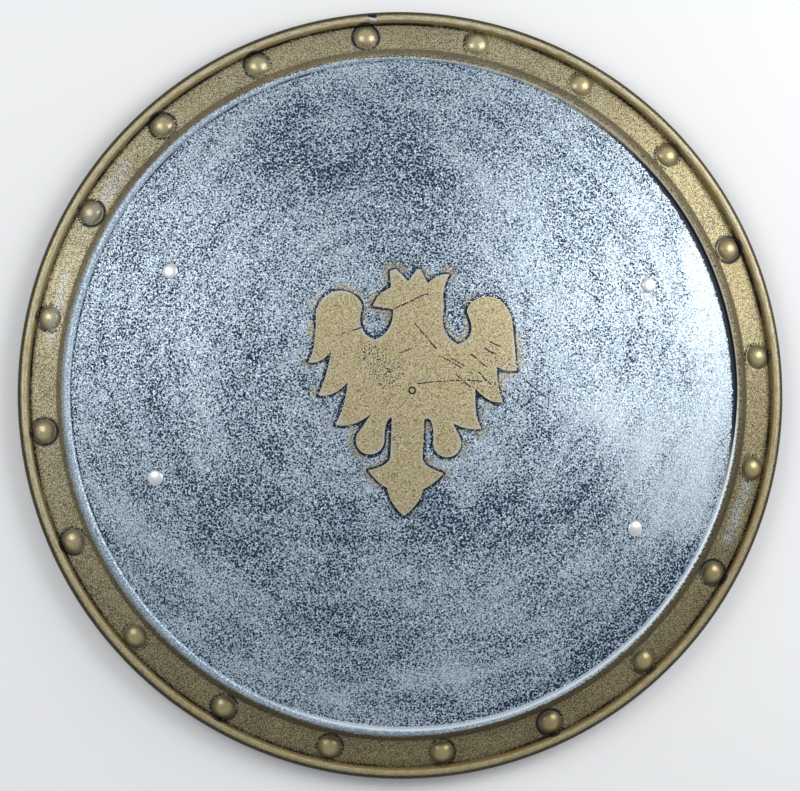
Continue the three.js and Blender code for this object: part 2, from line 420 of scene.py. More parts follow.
def turn_profile(bm, profile, facets, material=0):
    """Spins a profile of (radius, height) points about +Z and returns the faces it makes."""
    before = set(bm.faces)
    line = [bm.verts.new((radius, 0, height)) for radius, height in profile]
    edges = [bm.edges.new(pair) for pair in zip(line, line[1:])]
    bmesh.ops.spin(
        bm,
        geom=line + edges,
        cent=(0, 0, 0),
        axis=(0, 0, 1),
        dvec=(0, 0, 0),
        angle=math.tau,
        steps=facets,
        use_merge=True,
        use_duplicate=False,
    )
    made = [face for face in bm.faces if face not in before]
    for face in made:
        face.material_index = material
    return made


def weld(bm, distance=1e-6):
    bmesh.ops.remove_doubles(bm, verts=bm.verts, dist=distance)
    bmesh.ops.recalc_face_normals(bm, faces=bm.faces)


def arc(centre, radius, start_deg, end_deg, steps):
    """Points on a circle's arc, from one angle to another."""
    points = []
    for i in range(steps + 1):
        angle = math.radians(start_deg + (end_deg - start_deg) * i / steps)
        points.append((centre[0] + radius * math.cos(angle), centre[1] + radius * math.sin(angle)))
    return points


def evenly(start, end, steps):
    return [start + (end - start) * i / steps for i in range(steps + 1)]


def dome_z(distance, radius=DOME_RADIUS):
    return DOME_CENTRE.z + math.sqrt(radius * radius - distance * distance)


def placing(direction, point):
    """Turns +Z to a direction and moves the origin to a point."""
    turn = Vector((0, 0, 1)).rotation_difference(direction).to_matrix().to_4x4()
    return Matrix.Translation(point) @ turn


def combine(piece, tool, operation):
    """Joins a tool piece to a piece, or cuts it away, and deletes the tool."""
    modifier = piece.modifiers.new(operation.lower(), "BOOLEAN")
    modifier.operation = operation
    modifier.object = tool
    modifier.solver = "MANIFOLD"
    shaped = bpy.data.meshes.new_from_object(
        piece.evaluated_get(bpy.context.evaluated_depsgraph_get())
    )
    piece.modifiers.clear()
    if not shaped.polygons:
        raise RuntimeError(f"{operation} left nothing of {piece.name}")
    old = piece.data
    shaped.name = old.name
    piece.data = shaped
    bpy.data.meshes.remove(old)
    bpy.data.objects.remove(tool)


def smooth(piece, angle_deg):
    """Shades a piece smooth, but keeps edges sharper than an angle."""
    piece.data.shade_smooth()
    piece.data.set_sharp_from_angle(angle=math.radians(angle_deg))


# ---------------------------------------------------------------- the eagle's outline


class Outline:
    """A run of points made of straight lines and curves, in millimetres from the eagle's axis."""

    STEP = 1.6

    def __init__(self, start):
        self.points = [Vector(start)]

    def line(self, *ends):
        self.points.extend(Vector(end) for end in ends)
        return self

    def curve(self, bend, end, second_bend=None):
        """A curve with one bend, or with two where a second is given."""
        start, bend, end = self.points[-1], Vector(bend), Vector(end)
        if second_bend is None:
            handles = start.lerp(bend, 2 / 3), end.lerp(bend, 2 / 3)
        else:
            handles = bend, Vector(second_bend)
        length = (handles[0] - start).length + (handles[1] - handles[0]).length
        length += (end - handles[1]).length
        count = max(3, round(length / self.STEP))
        self.points.extend(interpolate_bezier(start, *handles, end, count)[1:])
        return self


# A wing runs from the notch beside the neck over the shoulder to three feathers. Each feather is
# the bend of its outer edge, its tip and the valley below it.
RIGHT_WING = {
    "notch": (28, 30.5),
    "notch_bend": (42, 35),
    "feathers": [
        ((64.5, 34), (66.5, 15.5), (53.5, 17.5)),
        ((54, 4), (58.3, -5), (40.3, 3)),
        ((40, -16), (45.3, -22.5), (26.5, -19.5)),
    ],
}
LEFT_WING = {
    "notch": (25, 31.3),
    "notch_bend": (37.5, 36),
    "feathers": [
        ((61, 24), (66.3, 15.7), (52, 23.2)),
        ((54, 7), (59.2, -5), (40.8, 4)),
        ((42, -13), (47.8, -23.4), (25, -15.3)),
    ],
}
FEATHER_SAG = 2
LEG_AXIS = -1
LEG = {"x": 24.5, "y": -32.4, "radius": 9, "slot": 13.5, "slot_y": -17.5}
TAIL_AXIS = -2
TAIL = {"half": 10.2, "root": -43, "barb": (24, -51.5), "waist": (11.5, -62), "tip": (0, -79.4)}


def wing_points(wing):
    run = Outline(wing["notch"])
    run.curve(wing["notch_bend"], (33.5, 51))
    run.curve((33, 61.5), (62.5, 48), second_bend=(56, 70))
    for bend, tip, valley in wing["feathers"]:
        run.curve(bend, tip)
        run.curve(((tip[0] + valley[0]) / 2, tip[1] - FEATHER_SAG), valley)
    return run.points


def leg_points():
    """The right leg, from its outer edge round the foot and up to the slot beside the tail."""
    x, y, radius = LEG["x"], LEG["y"], LEG["radius"]
    foot = arc((x, y), radius, 20, -180, 14)
    run = Outline(foot[0])
    run.line(*foot[1:])
    run.curve((x - radius + 0.5, y + radius), (LEG["slot"], LEG["slot_y"] - 1))
    run.line((LEG["slot"] - 2, LEG["slot_y"] + 0.4))
    return [point + Vector((LEG_AXIS, 0)) for point in run.points]


def tail_points():
    """The right half of the tail, from its root to its tip."""
    half = TAIL["half"]
    barb, waist, tip = TAIL["barb"], TAIL["waist"], TAIL["tip"]
    run = Outline((half, LEG["slot_y"] - 0.8))
    run.line((half, TAIL["root"]))
    run.curve((half + 1.5, barb[1] + 3), barb)
    run.curve((18, waist[1] + 3), waist)
    run.curve((waist[0] - 2, waist[1] - 10), tip)
    return run.points


def head_points():
    """From the left notch over the beak and the crown to the right notch."""
    run = Outline((-LEFT_WING["notch"][0], LEFT_WING["notch"][1]))
    run.curve((-13, 36), (-13.6, 51.2))
    run.line((-26.6, 52.7))
    run.curve((-24, 61), (-15.3, 65))
    run.line((-16.5, 75.8), (-12.5, 77), (-4.7, 69.3), (0.9, 77.2), (3, 77.6), (8, 68.5))
    run.curve((14, 75), (21.8, 75.2))
    run.curve((16, 64), (18.8, 54))
    run.curve((15, 37), RIGHT_WING["notch"])
    return run.points


def mirrored(points, axis=0.0):
    """The same run on the other side of an axis, from its end back to its start."""
    return [Vector((2 * axis - point.x, point.y)) for point in reversed(points)]


def eagle_outline():
    """The whole outline clockwise, in metres, turned as it stands on the dome."""
    tail = tail_points()
    right_tail = [point + Vector((TAIL_AXIS, 0)) for point in tail]
    points = head_points()[:-1]
    points += wing_points(RIGHT_WING)
    points += leg_points()
    points += right_tail
    points += mirrored(right_tail, TAIL_AXIS)[1:]
    points += mirrored(leg_points(), LEG_AXIS)
    points += mirrored(wing_points(LEFT_WING))[:-1]
    turn = Matrix.Rotation(EAGLE_TURN, 2)
    return [turn @ (point * MM) for point in points]


def outline_distance(outline, places):
    """Each place's distance from the outline in metres: positive outside it, negative inside."""
    starts = np.array([tuple(point) for point in outline])
    runs = np.roll(starts, -1, axis=0) - starts
    nearest = np.full(len(places), 1.0)
    inside = np.zeros(len(places), dtype=bool)
    for start, run in zip(starts, runs):
        offset = places - start
        share = np.clip(offset @ run / (run @ run), 0, 1)
        gap = np.linalg.norm(offset - share[:, None] * run, axis=1)
        nearest = np.minimum(nearest, gap)
        crosses = (start[1] > places[:, 1]) != (start[1] + run[1] > places[:, 1])
        if run[1]:
            edge_x = start[0] + (places[:, 1] - start[1]) / run[1] * run[0]
            inside ^= crosses & (places[:, 0] < edge_x)
    return np.where(inside, -nearest, nearest)


# ---------------------------------------------------------------- the moulding's mesh


def face_profile():
    """The face from the top of the dome to the ground outside the rim."""
    middle = evenly(0, 100 * MM, 50)
    outer = evenly(100 * MM, DOME_EDGE, 22)[1:]
    points = [(distance, dome_z(distance)) for distance in middle + outer]
    ring_radius = (RING_OUTER - DOME_EDGE) / 2
    ring_z = dome_z(DOME_EDGE) + RING_RISE - ring_radius
    points += arc((DOME_EDGE + ring_radius, ring_z), ring_radius, 150, 0, 12)
    foot = 2.2 * MM
    slope = math.degrees(math.atan2(BAND_INNER_Z - BAND_OUTER_Z, BAND_OUTER - BAND_INNER))
    points += arc((BAND_INNER + foot, BAND_INNER_Z + foot), foot, 188, 270 - slope, 6)
    points += [(BAND_OUTER, BAND_OUTER_Z)]
    points += arc((RIM_RADIUS - BEAD_RADIUS, BEAD_Z), BEAD_RADIUS, 176, 0, 16)
    points += [(RIM_RADIUS, BEAD_Z / 2), (RIM_RADIUS, 0)]
    return points


def back_profile():
    """The hollow back from the ground to the top of the inside."""
    inner_bead = arc((RIM_RADIUS - BEAD_RADIUS, BEAD_Z), BEAD_RADIUS - WALL, 0, 150, 6)
    points = [(RIM_RADIUS, 0), (RIM_RADIUS - WALL, 0)] + inner_bead
    points += [(BAND_OUTER - WALL / 3, BAND_OUTER_Z - WALL)]
    corner = 3 * MM
    points += arc((BAND_INNER - WALL + corner, BAND_INNER_Z - WALL + corner), corner, 250, 190, 4)
    back_radius = DOME_RADIUS - WALL
    top_corner = RING_OUTER - WALL
    points += [(top_corner + 0.8 * MM, dome_z(top_corner, back_radius) - 3 * MM)]
    points += [(d, dome_z(d, back_radius)) for d in evenly(top_corner - 2 * MM, 0, 24)]
    return points


def add_studs(bm):
    """Twenty domed studs round the band, each with a small fillet and its foot sunk in the band."""
    cap_radius = (STUD_HALF**2 + STUD_RISE**2) / (2 * STUD_RISE)
    edge = math.degrees(math.asin((cap_radius - STUD_RISE) / cap_radius))
    profile = arc((0, STUD_RISE - cap_radius), cap_radius, 90, edge + 4, 10)
    start = profile[-1]
    for share in (0.35, 0.7, 1.0):
        profile.append((start[0] + STUD_FILLET * share, start[1] * (1 - share) ** 2))
    profile += [(STUD_HALF + STUD_FILLET, -WALL / 2), (0, -WALL / 2)]
    slope = (BAND_INNER_Z - BAND_OUTER_Z) / (BAND_OUTER - BAND_INNER)
    point = Vector((STUD_RING, 0, BAND_OUTER_Z + slope * (BAND_OUTER - STUD_RING)))
    stand = placing(Vector((slope, 0, 1)).normalized(), point)
    for i in range(STUD_COUNT):
        made = turn_profile(bm, profile, SMALL_FACETS, FACE)
        verts = list({vert for face in made for vert in face.verts})
        turn = Matrix.Rotation(STUD_START + math.tau * i / STUD_COUNT, 4, "Z")
        bmesh.ops.transform(bm, matrix=turn @ stand, verts=verts)


def eagle_layer(outline, slope):
    """The eagle as one layer bent over the dome: flat-topped, with rounded and sloping sides."""
    bm = bmesh.new()
    bm.faces.new([bm.verts.new((*point, 0)) for point in outline])
    corners = []
    for vert in bm.verts:
        first, second = (edge.other_vert(vert).co - vert.co for edge in vert.link_edges)
        if first.angle(second) < SHARPEST_ROUNDED:
            corners.append(vert)
    bmesh.ops.bevel(
        bm,
        geom=corners,
        offset=EAGLE_CORNER,
        segments=3,
        profile=0.5,
        affect="VERTICES",
        clamp_overlap=True,
        material=-1,
    )
    top = max(bm.faces, key=lambda face: face.calc_area())
    if top.normal.z < 0:
        top.normal_flip()
    ring = bmesh.ops.inset_region(
        bm,
        faces=[top],
        thickness=slope,
        depth=0,
        use_boundary=True,
        use_even_offset=True,
        use_outset=True,
    )["faces"]
    bmesh.ops.translate(bm, vec=(0, 0, EAGLE_RELIEF), verts=top.verts)
    for face in ring:
        face.material_index = EAGLE_SIDE
    top.material_index = EAGLE_TOP
    bmesh.ops.bevel(
        bm,
        geom=list(top.edges),
        offset=EAGLE_BEVEL,
        segments=3,
        profile=0.5,
        affect="EDGES",
        clamp_overlap=True,
        material=-1,
    )
    rim = [edge for edge in bm.edges if edge.is_boundary]
    skirt = bmesh.ops.extrude_edge_only(bm, edges=rim)["geom"]
    low = [item for item in skirt if isinstance(item, bmesh.types.BMVert)]
    bmesh.ops.translate(bm, vec=(0, 0, -WALL / 2), verts=low)
    bmesh.ops.holes_fill(bm, edges=[edge for edge in bm.edges if edge.is_boundary], sides=0)
    for axis in (Vector((1, 0, 0)), Vector((0, 1, 0))):
        for place in evenly(-EAGLE_REACH, EAGLE_REACH, EAGLE_GRID):
            geometry = bm.verts[:] + bm.edges[:] + bm.faces[:]
            bmesh.ops.bisect_plane(bm, geom=geometry, plane_co=axis * place, plane_no=axis)
    for vert in bm.verts:
        vert.co.z += dome_z(vert.co.xy.length)
    bmesh.ops.recalc_face_normals(bm, faces=bm.faces)
    return bm


def hole_tools():
    """What is cut away: the four rivet holes and the round mark in the eagle's middle."""
    bm = bmesh.new()
    for node in RIVET_NODES:
        centre, direction = rivet_place(node)
        bmesh.ops.create_cone(
            bm,
            cap_ends=True,
            segments=32,
            radius1=RIVET_HOLE,
            radius2=RIVET_HOLE,
            depth=20 * MM,
            matrix=placing(direction, centre),
        )
    mark = arc((MARK_RADIUS, dome_z(0) + EAGLE_RELIEF), MARK_RIDGE, 0, 360, 12)
    turn_profile(bm, mark, SMALL_FACETS, EAGLE_TOP)
    weld(bm)
    return bm


def shell_mesh(slope, materials):
    """The whole moulding as one mesh, with each vertex's distance from the eagle's outline."""
    bm = bmesh.new()
    turn_profile(bm, face_profile(), FACETS, FACE)
    turn_profile(bm, back_profile(), FACETS, BACK)
    weld(bm)
    shell = as_piece("shield_moulding", bm, materials)
    outline = eagle_outline()
    combine(shell, as_piece("eagle_layer", eagle_layer(outline, slope), materials), "UNION")
    studs = bmesh.new()
    add_studs(studs)
    weld(studs)
    combine(shell, as_piece("studs", studs, materials), "UNION")
    combine(shell, as_piece("holes", hole_tools(), materials), "DIFFERENCE")

    mesh = shell.data
    places = np.empty(len(mesh.vertices) * 3)
    mesh.vertices.foreach_get("co", places)
    gap = outline_distance(outline, places.reshape(-1, 3)[:, :2])
    layer = mesh.attributes.new("eagle_gap", "FLOAT", "POINT")
    layer.data.foreach_set("value", gap / MM)
    smooth(shell, 32)
    return shell


# ---------------------------------------------------------------- rivets and straps


def rivet_place(node):
    """A rivet's middle and the way its face cap points, from its own box."""
    low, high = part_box(node)
    centre = (low + high) / 2
    return centre, (centre - DOME_CENTRE).normalized()


def rivet_mesh(node, material):
    """A post between two domed caps, through the dome and the strap."""
    centre, direction = rivet_place(node)
    under = HALF_RIVET - CAP_RISE
    cap = []
    for share in (0.0, 0.3, 0.55, 0.75, 0.89, 0.97, 1.0):
        cap.append((CAP_RADIUS * share, under + CAP_RISE * math.sqrt(1 - 0.92 * share * share)))
    cap += [(CAP_RADIUS, under + CAP_LIP), (CAP_RADIUS - CAP_TUCK, under), (POST_RADIUS, under)]
    profile = cap + [(radius, -height) for radius, height in reversed(cap)]
    bm = bmesh.new()
    turn_profile(bm, profile, CAP_FACETS)
    weld(bm)
    bmesh.ops.transform(bm, matrix=placing(direction, centre), verts=bm.verts)
    piece = as_piece(node.replace("rivet", "cap_rivet"), bm, [material])
    smooth(piece, 40)
    return piece


def strap_mesh(name, upper_node, lower_node, width, bow, material):
    """A strap in the plane of its two rivets and the dome's centre, flat at its ends and bowed
    away from the dome between them."""
    upper = rivet_place(upper_node)[1]
    lower = rivet_place(lower_node)[1]
    middle = (upper + lower).normalized()
    along = (upper - lower).normalized()
    across = along.cross(middle).normalized()
    flat = DOME_RADIUS - WALL - STRAP_GAP - STRAP_THICKNESS / 2
    rivet_angle = upper.angle(middle)
    end_angle = rivet_angle + STRAP_END / flat
    bow_angle = rivet_angle - STRAP_FLAT / flat

    def route(angle):
        share = min(abs(angle) / bow_angle, 1)
        radius = flat - bow * (1 - share * share) ** STRAP_BOW_POWER
        return DOME_CENTRE + along * radius * math.sin(angle) + middle * radius * math.cos(angle)

    bm = bmesh.new()
    uv = bm.loops.layers.uv.new("weave")
    angles = evenly(-end_angle, -bow_angle, 6) + evenly(-bow_angle, bow_angle, 72)[1:]
    angles += evenly(bow_angle, end_angle, 6)[1:]
    start = route(angles[0])
    columns = evenly(-width / 2, width / 2, 10)
    row = [bm.verts.new(start + across * place) for place in columns]
    edges = [bm.edges.new(pair) for pair in zip(row, row[1:])]
    travelled = 0.0
    for previous, angle in zip(angles, angles[1:]):
        step = route(angle) - route(previous)
        made = bmesh.ops.extrude_edge_only(bm, edges=edges)["geom"]
        verts = [item for item in made if isinstance(item, bmesh.types.BMVert)]
        edges = [
            item
            for item in made
            if isinstance(item, bmesh.types.BMEdge) and all(vert in verts for vert in item.verts)
        ]
        bmesh.ops.translate(bm, vec=step, verts=verts)
        for face in (item for item in made if isinstance(item, bmesh.types.BMFace)):
            for loop in face.loops:
                reach = travelled + (step.length if loop.vert in verts else 0.0)
                loop[uv].uv = ((loop.vert.co - start).dot(across), reach)
        travelled += step.length
    bmesh.ops.recalc_face_normals(bm, faces=bm.faces)
    piece = as_piece(name, bm, [material])
    thicken = piece.modifiers.new("thickness", "SOLIDIFY")
    thicken.thickness = STRAP_THICKNESS
    thicken.offset = 0
    rounding = piece.modifiers.new("rounded edges", "BEVEL")
    rounding.width = 0.5 * MM
    rounding.segments = 3
    rounding.limit_method = "ANGLE"
    rounding.angle_limit = math.radians(60)
    shaped = bpy.data.meshes.new_from_object(
        piece.evaluated_get(bpy.context.evaluated_depsgraph_get())
    )
    piece.modifiers.clear()
    piece.data = shaped
    combine(piece, as_piece("holes", hole_tools()), "DIFFERENCE")
    smooth(piece, 40)
    return piece


# ---------------------------------------------------------------- materials


# Lengths in the materials are millimetres, and a noise's scale is its cells per millimetre.
# Noises lie round 0.5, so (noise - 0.5) pushes a value or an edge both ways.

# Brush marks on the dome: start, end, half width, fade and how much more (or, below zero, less)
# bare plastic shows there.
BRUSH_MARKS = [
    ((212, 100), (208, -85), 16, 26, -0.60),
    ((150, 60), (160, -20), 24, 40, -0.10),
    ((120, 170), (190, 95), 12, 22, -0.25),
    ((45, -97), (112, -78), 9, 20, 0.20),
    ((112, -78), (160, -32), 6, 14, 0.12),
    ((-157, 60), (-152, -60), 6, 14, 0.12),
    ((-110, 60), (-105, -80), 9, 18, 0.10),
    ((-137, 55), (-130, -45), 4, 10, -0.20),
    ((-211, -62), (-102, -134), 5, 14, -0.30),
    ((-40, -192), (110, -182), 10, 24, -0.15),
    ((0, 108), (45, 108), 14, 26, 0.15),
    ((120, -175), (185, -110), 9, 14, 0.25),
    ((85, 40), (110, 0), 12, 26, -0.24),
    ((150, -15), (168, -65), 16, 26, -0.45),
    ((75, 130), (66, 95), 10, 22, -0.20),
    ((-60, 150), (-20, 165), 18, 30, 0.28),
    ((-85, 165), (-58, 115), 12, 22, 0.25),
    ((-165, -25), (-142, -80), 12, 24, 0.28),
    ((-120, -70), (-55, -135), 10, 22, 0.26),
    ((-40, -90), (60, -80), 10, 20, 0.32),
    ((-60, -150), (-20, -160), 12, 20, 0.25),
    ((-20, -206), (20, -212), 10, 14, 0.35),
    ((65, -180), (118, -162), 10, 18, 0.25),
    ((-100, 5), (-98, -60), 8, 18, 0.20),
]

# Scratches through the silver: start, end and half width.
SILVER_SCRATCHES = [
    ((59, 0), (71, -10), 0.35),
    ((71, -10), (77, -6), 0.30),
    ((71, 8), (88, -5), 0.30),
    ((65, 3), (81, -9), 0.20),
    ((116, 78), (121, 74), 0.40),
    ((107, 69), (122, 59), 0.25),
]

# Silver brushed over the gold band: start, end, half width and fade.
BAND_SMEARS = [
    ((226, -60), (213, -95), 2.0, 3.5),
    ((-204, 110), (-181, 147), 1.5, 4.5),
    ((-229, 36), (-219, 76), 1.0, 3.5),
]

# A chip in the top of the rim, and a painted highlight (a glint) on its inner edge.
CHIP = ((-22.6, 246.8), (-18.8, 246.4))
CHIP_GLINT = ((-22.0, 244.9), (-18.6, 243.8))

# Cream: pale rubbed paint, and the painted highlights on the crests and along the eagle's edges.
CREAM = (0.74, 0.74, 0.66)
SLATE = (0.15, 0.26, 0.38)
# Bright silver: the silver smeared over the band, and the painted highlight on the ring.
BRIGHT_SILVER = (0.78, 0.84, 0.88)
THIN_SILVER = (0.006, 0.018, 0.042)
SHADOW_GOLD = (0.05, 0.04, 0.026)
# Ochre: the gold's darker aged tone, and the painted shade on the bead's inner side.
OCHRE = (0.33, 0.21, 0.07)
RIM_SHADE = (0.030, 0.028, 0.018)
# The colour of the painted glint.
GLINT_BLUE = (0.55, 0.68, 0.90)

# The circle that the silver was painted up to stands a little off the dome's axis.
SILVER_CENTRE = (-3.4, -1.0)
SILVER_RADIUS = 218.4

# Radii that the paint changes at: the foot and the crest of the ring, and the band's outer edge.
RING_FOOT = 215.3
RING_CREST = 216.9
BAND_EDGE = 241.9


class Front:
    """What the layers of paint on the front share: its places, its grain and its regions."""

    def __init__(self, finish):
        self.finish = finish
        self.place = finish.place()
        self.x, self.y, _ = finish.split(self.place)
        self.flat = finish.join(self.x, self.y, 0.0)
        self.radius = (self.x * self.x + self.y * self.y) ** 0.5
        # The lower side, painted in shade: darker gold with more bare plastic, fewer pale specks,
        # fainter crest highlights and a deeper wall.
        self.shaded_low_side = self.towards(285, 50, 50)

        # The moulded grain takes paint on its high spots and stays bare in its pits.
        self.grain = finish.noise(self.place, 1.1, 1.0)
        self.fine = finish.noise(self.place, 2.0, 1.0)
        self.wander = (finish.noise(self.place, 0.026, 3.0, 0.55) - 0.5) * 2
        self.cloud = finish.noise(self.place, 0.024, 4.0, 0.62, 0.8)

        self.on_gold = self.past_silver()
        self.on_bead = finish.step(self.radius, BAND_EDGE, BAND_EDGE + 0.7)
        self.from_stud = self.stud_distance()
        self.on_stud = finish.step(self.from_stud, 8.3, 7.4) * self.on_gold
        # The ring's crest is painted pale: rubbed paint, and a painted highlight.
        rubbed = finish.step(self.fine + self.wander * 0.2, 0.36, 0.52)
        self.crest_rub_and_highlight = self.ring(RING_CREST, 0.35, 0.45) * rubbed
        self.flank = finish.step(self.radius + (self.grain - 0.5) * 1.6, 246.9, 248.5)
        self.wall = self.wall_shade()

    def towards(self, angle_deg, edge_deg, fade_deg):
        """1 in the directions within an angle of the given one."""
        angle = math.radians(angle_deg)
        cosine = (self.x * math.cos(angle) + self.y * math.sin(angle)) / self.radius
        inner = math.cos(math.radians(edge_deg))
        outer = math.cos(math.radians(edge_deg + fade_deg))
        return self.finish.step(cosine, outer, inner)

    def ring(self, at, half, fade):
        """1 on a circle of the given radius, and 0 away from it."""
        return self.finish.step(abs(self.radius - at), half + fade, half)

    def round_noise(self, distance, stretch, *shape):
        """A noise whose cells run round the shield."""
        across, along = self.x / self.radius * stretch, self.y / self.radius * stretch
        return self.finish.noise(self.finish.join(distance, across, along), 1.0, *shape)

    def past_silver(self):
        """1 on the gold, outside the circle that the silver was painted up to."""
        x, y = self.x - SILVER_CENTRE[0], self.y - SILVER_CENTRE[1]
        past = (x * x + y * y) ** 0.5 - SILVER_RADIUS - self.towards(308, 40, 24) * 2.0
        return self.finish.step(past + self.wander * 0.5 + (self.grain - 0.5) * 3, -0.2, 0.25)

    def stud_distance(self):
        """The distance from the nearest stud's middle."""
        pitch = math.tau / STUD_COUNT
        turned = self.y.math("ARCTAN2", self.y, self.x) + (2 * math.tau + pitch / 2 - STUD_START)
        side = (turned.math("MODULO", turned, pitch) - pitch / 2) * self.radius
        return (side * side + (self.radius - STUD_RING / MM - 0.2) ** 2) ** 0.5

    def wall_shade(self):
        """Painted shade on the steep wall outside the ring, where the gold is also thin: how dark
        it is.
        """
        wall = self.finish.step(self.radius, 217.4, 218.3)
        wall = wall * self.finish.step(self.radius, 225.8, 224.2) * self.on_gold
        # The painted shade is deeper towards the upper right and on the lower side.
        dark = 0.42 + self.towards(30, 40, 30) * 0.2 + self.shaded_low_side * 0.2
        return wall * (dark + (self.grain - 0.5) * 1.2)


def brushed_thin(front, streak):
    """How much plastic shows through the silver, which is brushed on in sweeps."""
    bow = ((front.x + 20) ** 2 + (front.y - 40) ** 2) ** 0.5
    swept = front.round_noise(bow * 0.08, 1.8, 4.0, 0.62, 0.6)
    density = 0.85 + (front.cloud - 0.5) * 1.4 + (streak - 0.5) * 1.3 + (swept - 0.5) * 1.5
    for start, end, half, fade, amount in BRUSH_MARKS:
        density = density + front.finish.stroke(front.flat, start, end, half, fade) * amount
    # More bare plastic in a band just inside the ring towards the lower right.
    ring_dark_band = front.ring(212.3, 2.2, 2.8) * front.towards(312, 24, 16)
    return (density + ring_dark_band * 0.6).most(0.0).least(1.5)


def silver_layer(front, paint):
    """The silver's colour with a painted highlight along the ring at the lower right, and where
    plastic shows through it.
    """
    finish, grain, fine = front.finish, front.grain, front.fine
    streak = front.round_noise(front.radius * 0.17, 4, 3.0, 0.6, 0.8)
    density = brushed_thin(front, streak)
    speck = grain + (fine - 0.5) * 0.35
    soft = finish.step(speck, 0.40, 0.60) * (0.06 + density * 0.30)
    cells = {"Vector": front.place, "Scale": 0.62}
    spot = finish.node("ShaderNodeTexVoronoi", inputs=cells, output="Distance")
    hard = finish.step(spot + (fine - 0.5) * 0.2 - density * 0.21, 0.25, 0.16)
    on_ring = finish.step(front.radius, 215.4, 216.4)
    # A painted highlight: bright silver along the ring towards the lower right, where no plastic
    # shows.
    ring_highlight = front.ring(216.6, 1.0, 1.0) * front.towards(305, 42, 24)
    bare = soft.most(hard) * (1 - on_ring * 0.75) * (1 - ring_highlight)
    shade = 1.06 - (grain - 0.5) * 1.4 + (fine - 0.5) * 0.5 + (streak - 0.5) * 0.4
    silver = finish.tint(paint.silver, shade + (front.cloud - 0.5) * 0.2)
    thin = finish.step(speck, 0.34, 0.58) * (0.15 + density * 0.55)
    silver = finish.mix(thin, silver, SLATE)
    return finish.mix(ring_highlight * 0.8, silver, BRIGHT_SILVER), bare


def gold_layer(front, paint):
    """The gold's colour from the ring outwards: stippled on the band, smoother on the studs."""
    finish, grain, fine, shaded_low_side = front.finish, front.grain, front.fine, front.shaded_low_side
    stud_highlight = finish.step(front.from_stud, 6.2, 3.0)
    shade = 0.92 + (fine - 0.5) * 0.9 - (grain - 0.5) * 0.9 - shaded_low_side * 0.18
    # On the studs: a painted highlight on their tops and painted shade on their flanks.
    shade = shade + front.on_stud * (stud_highlight * 0.5 - 0.28 + (grain - 0.5) * 1.4)
    gold = finish.tint(paint.gold, shade)
    pale = 0.34 + front.towards(150, 60, 60) * 0.3
    pale = finish.step(fine + (grain - 0.5) * 0.5, 0.50, 0.38) * pale
    gold = finish.mix(pale * (1 - front.on_bead) * (1 - shaded_low_side * 0.5), gold, CREAM)
    for start, end, half, fade in BAND_SMEARS:
        smear = finish.stroke(front.flat, start, end, half, fade) * finish.step(fine, 0.60, 0.42)
        gold = finish.mix(smear * 0.6, gold, BRIGHT_SILVER)
    aged = finish.step(front.wander + (fine - 0.5) * 1.4, -0.05, 0.30)
    return finish.mix(aged * 0.30, gold, OCHRE)


def rim_wear_and_painted_light(front, gold):
    """Rim and ring crests rubbed pale with a painted highlight; painted shade on the bead's inside
    and wall.
    """
    finish, radius = front.finish, front.radius
    rubbed = front.round_noise(radius * 2.0, 36, 2.0, 0.55)
    # The rim's crest is painted pale too: rubbed paint, and a painted highlight that is weaker on
    # the lower side.
    crest_rub_and_highlight = front.ring(245.7, 0.8, 1.0) * finish.step(rubbed, 0.36, 0.60)
    # Painted shade on the bead's inner side, deeper towards the right.
    inside = front.on_bead * finish.step(radius + (rubbed - 0.5) * 3, 244.9, 243.9)
    gold = finish.mix(inside * (0.35 + front.towards(0, 70, 50) * 0.4), gold, OCHRE)
    gold = finish.mix(crest_rub_and_highlight.most(front.crest_rub_and_highlight) * (0.68 - front.shaded_low_side * 0.4), gold, CREAM)
    # Painted shade on the steep wall outside the ring.
    gold = finish.mix(front.wall, gold, SHADOW_GOLD)
    return finish.mix(front.flank * 0.9, gold, RIM_SHADE)


def thin_gold(front):
    """Where plastic shows through the gold."""
    thin = 0.53 - (front.cloud - 0.5) * 0.25 - front.shaded_low_side * 0.05
    bare = front.finish.step(front.fine + (front.grain - 0.5) * 0.7 - thin, -0.05, 0.08) * 0.74
    bare = bare * front.on_gold * (1 - front.on_stud * 0.6) * (1 - front.on_bead * 0.75)
    return bare * (1 - front.crest_rub_and_highlight * 0.7)


def round_eagle(front):
    """The stray gold round the eagle, and the bare plastic at its foot."""
    finish, grain = front.finish, front.grain
    gap = finish.eagle_gap()
    patch = finish.noise(front.place, 0.07, 2.0)
    reach = finish.step(gap + (grain - 0.5) * 5, 7.0, 3.0) * finish.step(patch, 0.46, 0.56)
    stray = reach * finish.step(front.fine, 0.40, 0.52) * 0.85
    foot = finish.step(gap + (patch - 0.5) * 4, 2.3, 1.4) * finish.step(gap, 3.2, 2.2)
    return stray, foot * finish.step(grain + front.wander * 0.16, 0.32, 0.44)


def bare_strip(front):
    """The widest stretch of bare plastic at the ring's foot."""
    widest = front.towards(18, 8, 24)
    ragged = front.radius + (front.grain - 0.5) * 4
    strip = front.finish.step(ragged + widest * 1.6, 213.6, 214.4)
    strip = strip * front.finish.step(front.radius - widest, 215.9, 215.3)
    return strip * front.towards(22, 26, 16)


